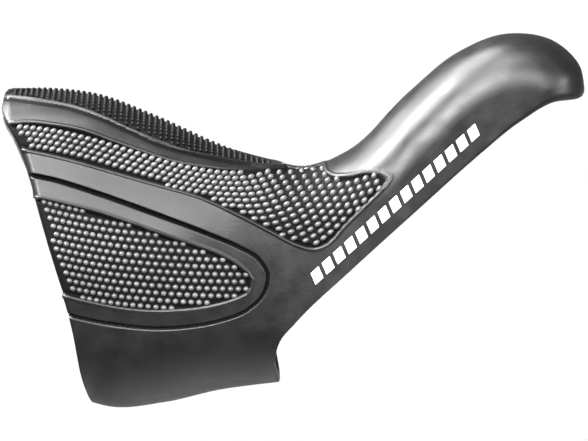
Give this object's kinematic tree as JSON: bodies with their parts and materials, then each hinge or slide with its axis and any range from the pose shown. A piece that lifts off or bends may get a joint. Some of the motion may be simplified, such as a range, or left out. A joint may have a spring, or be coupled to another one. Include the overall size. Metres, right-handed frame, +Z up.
{
  "type": "brake shift lever body and hood",
  "caption": "Right-hand drop-bar brake and shift lever body in a rubber hood with a tall horn, holding the handlebar clamp bolt, blade pivot and indexed shift mechanism.",
  "frame": {"origin": "on the axis of the handlebar the body is clamped to, level with the middle of the body's saddle", "axes": "+X forward towards the tip of the horn, +Z up, -Y outboard and +Y inboard towards the thumb lever"},
  "size_m": [0.1258, 0.0414, 0.0816],
  "materials": {
    "rubber": "matt moulded rubber with a fine grain",
    "composite": "glass filled nylon, matt",
    "button": "smooth moulded plastic",
    "resin": "natural acetal resin",
    "steel": "ground steel",
    "dark_steel": "blackened spring steel",
    "alloy": "anodised aluminium",
    "bronze": "sintered bronze"
  },
  "bodies": {
    "lever": {"hood": "rubber", "lever_body": "composite", "clamp_bolt": "steel", "clamp_washer": "dark_steel", "clamp_nut": "steel", "brake_housing_socket": "alloy", "shift_housing_socket": "alloy", "blade_pivot_pin": "steel", "pivot_bush_outboard": "bronze", "pivot_bush_inboard": "bronze", "pivot_circlip": "dark_steel", "main_axle": "steel", "axle_nut": "dark_steel", "axle_washer": "alloy", "mechanism_cover": "composite", "cover_circlip": "dark_steel", "drum_return_spring": "steel", "drum_spacer": "bronze", "thumb_spring": "steel", "pawl_pin": "steel", "pawl_spring": "steel", "index_spring": "steel"},
    "drum": {"cable_drum": "resin", "ratchet_wheel": "steel", "index_wheel": "dark_steel"},
    "thumb": {"thumb_lever": "alloy", "thumb_button": "button"},
    "pawl": {"holding_pawl": "dark_steel"},
    "plunger": {"index_plunger": "alloy"}
  },
  "joints": [
    {"name": "drum_spin", "type": "hinge", "parent": "lever", "child": "drum", "pos_m": [0.06169, 0, -0.00389], "axis": [-0.6605, 0, 0.7508], "range_deg": [0, 140]},
    {"name": "thumb_press", "type": "hinge", "parent": "lever", "child": "thumb", "pos_m": [0.05654, 0, 0.00196], "axis": [-0.6605, 0, 0.7508], "range_deg": [0, 24], "stiffness_Nm_per_rad": 0.05, "springref_deg": -20.05},
    {"name": "pawl_lift", "type": "hinge", "parent": "lever", "child": "pawl", "pos_m": [0.05403, -0.00511, -0.00623], "axis": [0.6605, 0, -0.7508], "range_deg": [0, 8], "stiffness_Nm_per_rad": 0.002, "springref_deg": -17.19},
    {"name": "plunger_slide", "type": "slide", "parent": "lever", "child": "plunger", "axis": [0.6805, -0.4226, 0.5986], "range_m": [0, 0.0007], "stiffness_N_per_m": 300, "springref_m": -0.002, "deforming": ["index_spring"]}
  ]
}
